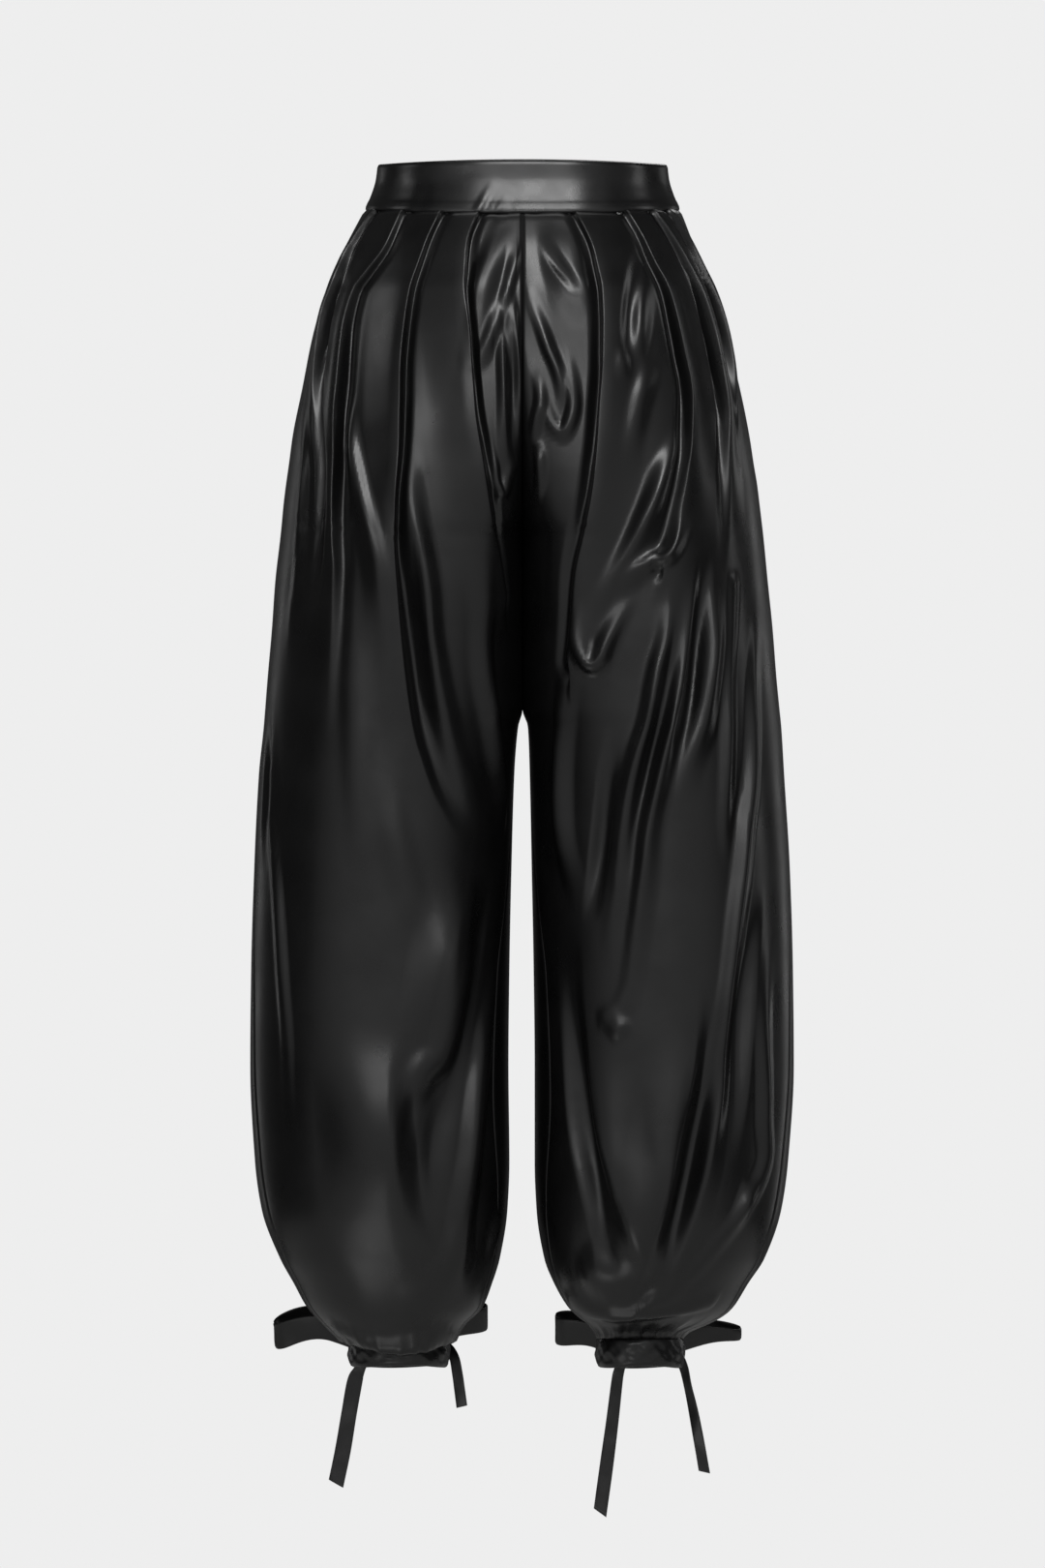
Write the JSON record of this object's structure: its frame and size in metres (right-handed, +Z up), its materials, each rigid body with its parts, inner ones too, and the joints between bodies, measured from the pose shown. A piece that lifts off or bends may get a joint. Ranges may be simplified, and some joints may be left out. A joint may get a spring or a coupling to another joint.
{
  "type": "faux leather trousers",
  "caption": "High-waisted balloon trousers in black faux leather, pleated at the waist, gathered into ankle bands with tied bows; hollow, worn shape.",
  "frame": {"origin": "centre of the waist, level with the top edge of the waistband at its sides", "axes": "+Z up along the body, -Y towards the front of the garment, +X to the viewer's right as seen from the front"},
  "size_m": [0.4666, 0.288, 1.1739],
  "materials": {
    "leather": "soft gloss black coating"
  },
  "bodies": {
    "root": {"waistband": "leather", "front_left": "leather", "front_right": "leather", "back_left": "leather", "back_right": "leather", "ankle_band_left": "leather", "ankle_band_right": "leather", "bow_knot_left": "leather", "bow_loop_outer_left": "leather", "bow_loop_inner_left": "leather", "bow_tail_outer_left": "leather", "bow_tail_inner_left": "leather", "bow_knot_right": "leather", "bow_loop_outer_right": "leather", "bow_loop_inner_right": "leather", "bow_tail_outer_right": "leather", "bow_tail_inner_right": "leather"}
  },
  "joints": []
}
